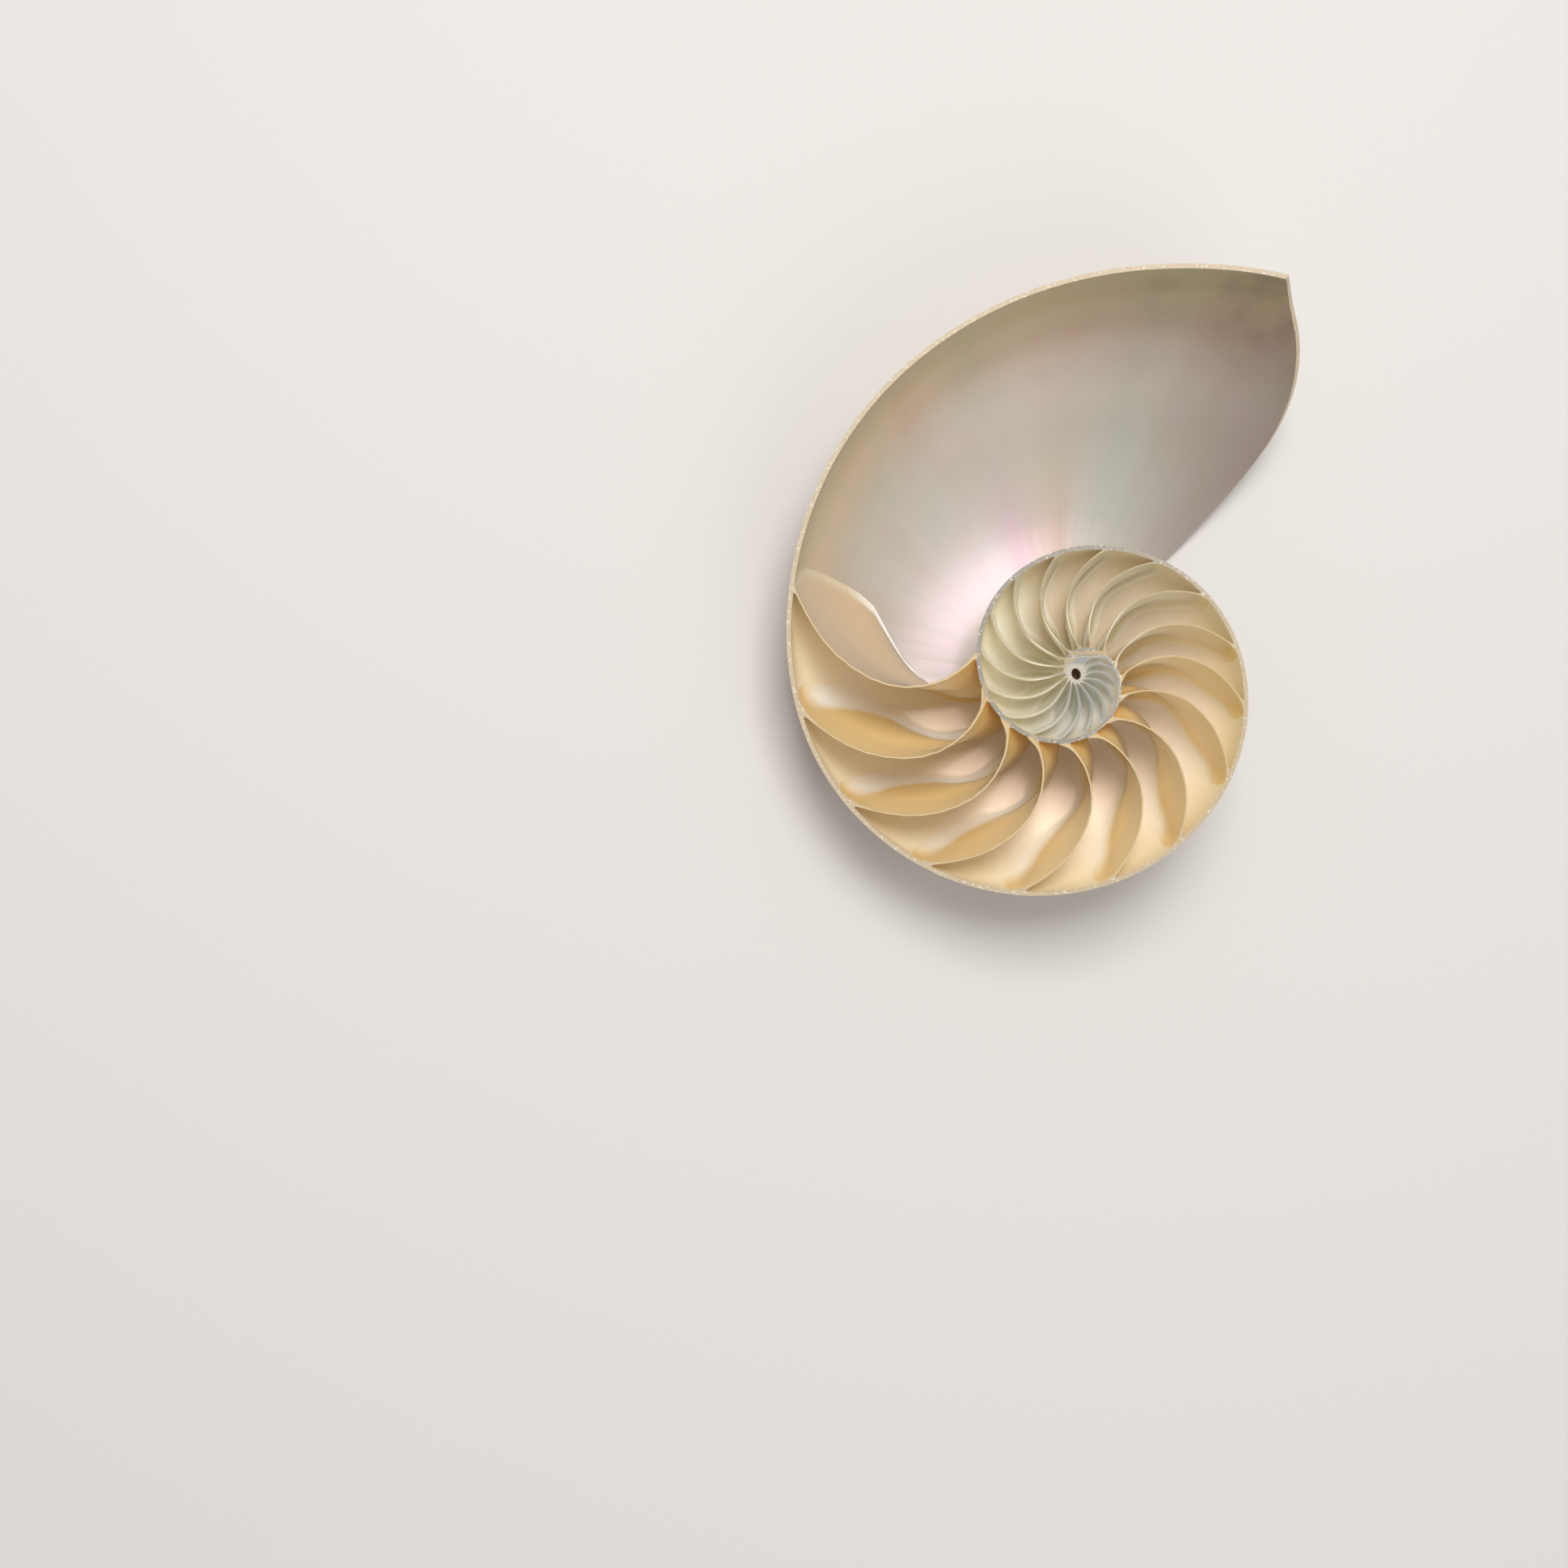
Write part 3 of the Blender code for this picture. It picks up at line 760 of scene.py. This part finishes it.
def inner_wall_finish():
    """Back of the whorl before, seen inside a chamber. Its dark brown in the last whorl is painted shade under the
    overhanging inner whorl.
    """
    finish, shader = new_finish("inner_whorl_wall", 0.42, 0.2, 0.25)
    # The last whorl's dark brown is painted shade under the overhanging inner whorl.
    tone = whorl_tones(finish, (0.58, 0.57, 0.53), (0.95, 0.84, 0.60), (0.84, 0.69, 0.46),
                       (0.62, 0.43, 0.22))
    patches = cloud(finish, 80.0, 3.0)
    colour = tinted(finish, tone, blend_colours(finish, patches, (0.80, 0.74, 0.66), (1.0, 1.0, 1.0)))
    wire(finish, colour, shader.inputs["Base Color"])
    glow(shader)
    return finish


def living_finish():
    """Mother-of-pearl of the living chamber, with growth lines, soft colour play and a painted pink and salmon tint of
    the glare near the coil.
    """
    finish, shader = new_finish("living_chamber_nacre", 0.36, 0.6, 0.22)
    turn, down = growth_marks(finish)
    base = colour_ramp(finish, down, ((0.0, (0.70, 0.54, 0.36)), (0.08, (0.61, 0.47, 0.33)),
                                      (0.20, (0.53, 0.43, 0.33)), (0.29, (0.46, 0.44, 0.36)),
                                      (0.42, (0.49, 0.49, 0.43)), (0.56, (0.57, 0.59, 0.53)),
                                      (0.8, (0.76, 0.79, 0.73))))
    age = add_node(finish, "ShaderNodeMapRange")
    age.inputs["From Min"].default_value = OLDEST_NACRE / WHORL
    age.inputs["From Max"].default_value = YOUNGEST_NACRE / WHORL
    wire(finish, turn, age.inputs["Value"])
    age = age.outputs["Result"]
    years = colour_ramp(finish, age, ((0.0, (1.0, 0.99, 0.97)), (0.44, (1.0, 1.0, 1.0)),
                                      (0.60, (0.95, 0.97, 0.95)), (0.80, (0.71, 0.74, 0.70)),
                                      (0.97, (0.48, 0.45, 0.41))))
    colour = tinted(finish, base, years)
    # Painted reflection: pink and salmon where the key light's glare falls near the coil.
    painted_glare_tint = colour_ramp(finish, age, ((0.44, (1.0, 1.0, 1.0)), (0.53, (1.0, 0.82, 0.92)),
                                      (0.60, (1.0, 0.90, 0.84)), (0.66, (1.0, 0.86, 0.74)),
                                      (0.72, (1.0, 1.0, 1.0))))
    near_coil = colour_ramp(finish, down, ((0.42, (0.0, 0.0, 0.0)), (0.60, (1.0, 1.0, 1.0))))
    colour = tinted(finish, colour, blend_colours(finish, near_coil, (1.0, 1.0, 1.0), painted_glare_tint))
    play = cloud(finish, 1.0, 3.0, stretched_marks(finish, 26.0, 3.0))
    tint = colour_ramp(finish, play, ((0.30, (0.92, 0.97, 0.95)), (0.45, (1.0, 1.0, 1.0)),
                                      (0.56, (1.0, 0.96, 0.96)), (0.70, (0.98, 0.95, 0.90))))
    colour = tinted(finish, colour, tint)
    near_lip = colour_ramp(finish, age, ((0.68, (0.0, 0.0, 0.0)), (0.80, (1.0, 1.0, 1.0))))
    near_rim = colour_ramp(finish, down, ((0.14, (1.0, 1.0, 1.0)), (0.30, (0.0, 0.0, 0.0))))
    smudge = colour_ramp(finish, cloud(finish, 75.0, 5.0), ((0.48, (0.0, 0.0, 0.0)), (0.64, (0.6, 0.6, 0.6))))
    smudge = tinted(finish, smudge, tinted(finish, near_lip, near_rim))
    colour = tinted(finish, colour, blend_colours(finish, smudge, (1.0, 1.0, 1.0), (0.62, 0.60, 0.68)))
    lines = cloud(finish, 1.0, 6.0, stretched_marks(finish, 55.0, 1.5))
    colour = tinted(finish, colour, blend_colours(finish, lines, (0.94, 0.93, 0.92), (1.0, 1.0, 1.0)))
    wire(finish, colour, shader.inputs["Base Color"])
    relief(finish, shader, lines, 0.0008, 0.25)
    thin_film(shader, 466.0, 1.43, 1.58)
    return finish


def living_septum_finish():
    """Last septum, pinkish cream, with a painted white highlight where it meets the floor."""
    finish, shader = new_finish("last_septum", 0.34, 0.4, 0.16)
    turn, down = growth_marks(finish)
    lean, across = corner_marks(finish)
    patches = cloud(finish, 50.0, 3.0)
    colour = blend_colours(finish, patches, (0.57, 0.41, 0.27), (0.62, 0.46, 0.31))
    soft = colour_ramp(finish, lean, ((0.0, (0.0, 0.0, 0.0)), (0.7, (1.0, 1.0, 1.0))))
    colour = blend_colours(finish, soft, colour, (0.64, 0.52, 0.37))
    # Painted highlight: a white line along the suture where the floor's glare runs up to the septum.
    painted_highlight_line = colour_ramp(finish, lean, ((0.05, (0.0, 0.0, 0.0)), (0.4, (1.0, 1.0, 1.0))))
    stretch = colour_ramp(finish, down, ((0.30, (0.0, 0.0, 0.0)), (0.44, (1.0, 1.0, 1.0))))
    colour = blend_colours(finish, tinted(finish, painted_highlight_line, stretch), colour, (1.0, 0.98, 0.96))
    wire(finish, colour, shader.inputs["Base Color"])
    thin_film(shader, 445.0, 1.4, 1.55)
    return finish


def outside_finish():
    """Outside: cream with rust-brown flames that fade out towards the lip."""
    finish, shader = new_finish("striped_outside", 0.38, 0.25, 0.2)
    turn, down = growth_marks(finish)
    lines = cloud(finish, 1.0, 4.0, stretched_marks(finish, 22.0, 1.3))
    stripe = colour_ramp(finish, lines, ((0.50, (0.80, 0.70, 0.54)), (0.55, (0.42, 0.13, 0.05))))
    fade = add_node(finish, "ShaderNodeMapRange")
    fade.inputs["From Min"].default_value = 1.45
    fade.inputs["From Max"].default_value = 1.68
    wire(finish, turn, fade.inputs["Value"])
    colour = blend_colours(finish, fade.outputs["Result"], stripe, (0.80, 0.70, 0.54))
    wire(finish, colour, shader.inputs["Base Color"])
    relief(finish, shader, cloud(finish, 1.0, 4.0, stretched_marks(finish, 300.0, 2.0)), 0.0002, 0.3)
    return finish


def hole_finish():
    """Inside of the small hole."""
    finish, shader = new_finish("small_hole", 0.6, 0.0, 0.5)
    colour = blend_colours(finish, cloud(finish, 400.0, 3.0), (0.26, 0.16, 0.08), (0.50, 0.36, 0.21))
    wire(finish, colour, shader.inputs["Base Color"])
    return finish


def shell_finishes():
    """Finishes in the order of the slots."""
    return (sawn_finish(), flank_finish(), septum_finish(), inner_wall_finish(), living_finish(),
            living_septum_finish(), outside_finish(), hole_finish())


def add_softbox(name, spot, aim, size, power, colour):
    """A square area light aimed at a point."""
    light = bpy.data.lights.new(name, "AREA")
    light.shape = "SQUARE"
    light.size = size
    light.energy = power
    light.color = colour
    lamp = bpy.data.objects.new(name, light)
    lamp.location = spot
    lamp.rotation_euler = (Vector(aim) - Vector(spot)).to_track_quat("-Z", "Y").to_euler()
    bpy.context.scene.collection.objects.link(lamp)


def build_stage():
    """Pale floor and soft light."""
    mesh = bmesh.new()
    bmesh.ops.create_grid(mesh, x_segments=1, y_segments=1, size=2.0)
    floor = mesh_object("floor", mesh)
    floor.location = (0.0, 0.0, -0.0003)
    pale, shader = new_finish("pale_floor", 0.8, 0.0, 0.5)
    shader.inputs["Base Color"].default_value = (0.66, 0.65, 0.64, 1.0)
    floor.data.materials.append(pale)
    world = bpy.data.worlds.new("soft_surround")
    world.use_nodes = True
    world.node_tree.nodes["Background"].inputs["Color"].default_value = (1.0, 0.98, 0.95, 1.0)
    world.node_tree.nodes["Background"].inputs["Strength"].default_value = 0.48
    bpy.context.scene.world = world
    bpy.context.scene.view_settings.view_transform = "Standard"
    turned = rest_matrix()
    centre = turned @ Vector((0.0, 0.0, -0.02))
    key = turned @ Vector((0.10, 0.46, 0.86))
    fill = turned @ Vector((0.6, -0.8, 0.8))
    add_softbox("key_softbox", key, centre, 0.56, 7.8, (1.0, 0.97, 0.94))
    add_softbox("fill_softbox", fill, centre, 0.9, 3.2, (1.0, 0.95, 0.89))


# The photograph's frame: its width on the sawn face, and the coil axis in it.
FRAME_WIDTH = 347.8 * MM
CAMERA_HEIGHT = 405.0 * MM
AXIS_RIGHT_OF_MIDDLE = 64.8 * MM
AXIS_ABOVE_MIDDLE = 24.4 * MM
SENSOR_WIDTH = 36.0


def add_camera():
    """Camera square to the sawn face, framed as the photograph is."""
    lens = bpy.data.cameras.new("camera")
    lens.sensor_width = SENSOR_WIDTH
    lens.lens = SENSOR_WIDTH * CAMERA_HEIGHT / FRAME_WIDTH
    lens.clip_start = 0.01
    camera = bpy.data.objects.new("camera", lens)
    bpy.context.scene.collection.objects.link(camera)
    camera.matrix_world = rest_matrix() @ Matrix.Translation((-AXIS_RIGHT_OF_MIDDLE, -AXIS_ABOVE_MIDDLE, CAMERA_HEIGHT))
    bpy.context.scene.camera = camera


shell = build_shell()
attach(shell, "root")
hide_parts(SHELL_NODE)
build_stage()
add_camera()
